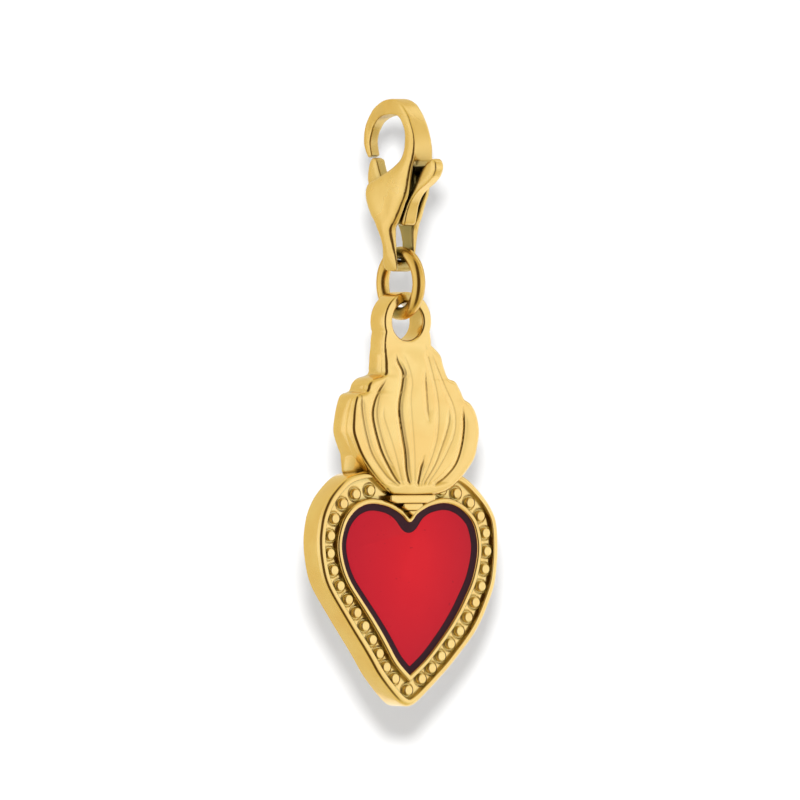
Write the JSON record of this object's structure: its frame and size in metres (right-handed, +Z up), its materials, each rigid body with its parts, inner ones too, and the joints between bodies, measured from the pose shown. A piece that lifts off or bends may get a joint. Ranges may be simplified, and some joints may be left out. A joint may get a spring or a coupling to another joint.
{
  "type": "flaming heart charm",
  "caption": "Gold-coloured heart charm with red enamel, a bead border and a flame, hung by a bail and a jump ring from a lobster clasp with a sprung trigger.",
  "frame": {"origin": "crown of the hook's inner surface, where the clasp hangs on a link", "axes": "+Z up along the charm, X across the heart, the front with the enamel and the trigger's nub faces -Y, the hook's mouth opens towards +Y"},
  "size_m": [0.0154, 0.0084, 0.0421],
  "materials": {
    "pendant_gold": "satin gold plating over a cast base",
    "bead_gold": "satin gold plating",
    "clasp_gold": "polished gold plating",
    "ring_gold": "polished gold plating on drawn wire",
    "spring_steel": "drawn spring wire",
    "red_enamel": "semi-gloss filled enamel",
    "dark_enamel": "semi-gloss filled enamel"
  },
  "bodies": {
    "clasp": {"clasp_body": "clasp_gold", "trigger_rivet": "clasp_gold", "trigger_spring": "spring_steel"},
    "trigger": {"trigger_lever": "clasp_gold"},
    "ring": {"jump_ring": "ring_gold"},
    "pendant": {"back_plate": "pendant_gold", "outer_rim": "pendant_gold", "bead_border": "bead_gold", "inner_bezel": "pendant_gold", "enamel_outline": "dark_enamel", "enamel_heart": "red_enamel", "flame_relief": "pendant_gold", "flame_collar": "pendant_gold", "collar_foot": "pendant_gold", "collar_drop": "pendant_gold"}
  },
  "joints": [
    {"name": "trigger_pivot", "type": "hinge", "parent": "clasp", "child": "trigger", "pos_m": [0, -0.00012, -0.00662], "axis": [1, 0, 0], "range_deg": [0, 28], "stiffness_Nm_per_rad": 0.01, "deforming": ["trigger_spring"]},
    {"name": "ring_swing", "type": "hinge", "parent": "clasp", "child": "ring", "pos_m": [0, 0, -0.01042], "axis": [1, 0, 0], "range_deg": [-75, 75]},
    {"name": "pendant_swing", "type": "hinge", "parent": "ring", "child": "pendant", "pos_m": [0, 0, -0.01372], "axis": [0, 1, 0], "range_deg": [-90, 90]}
  ]
}
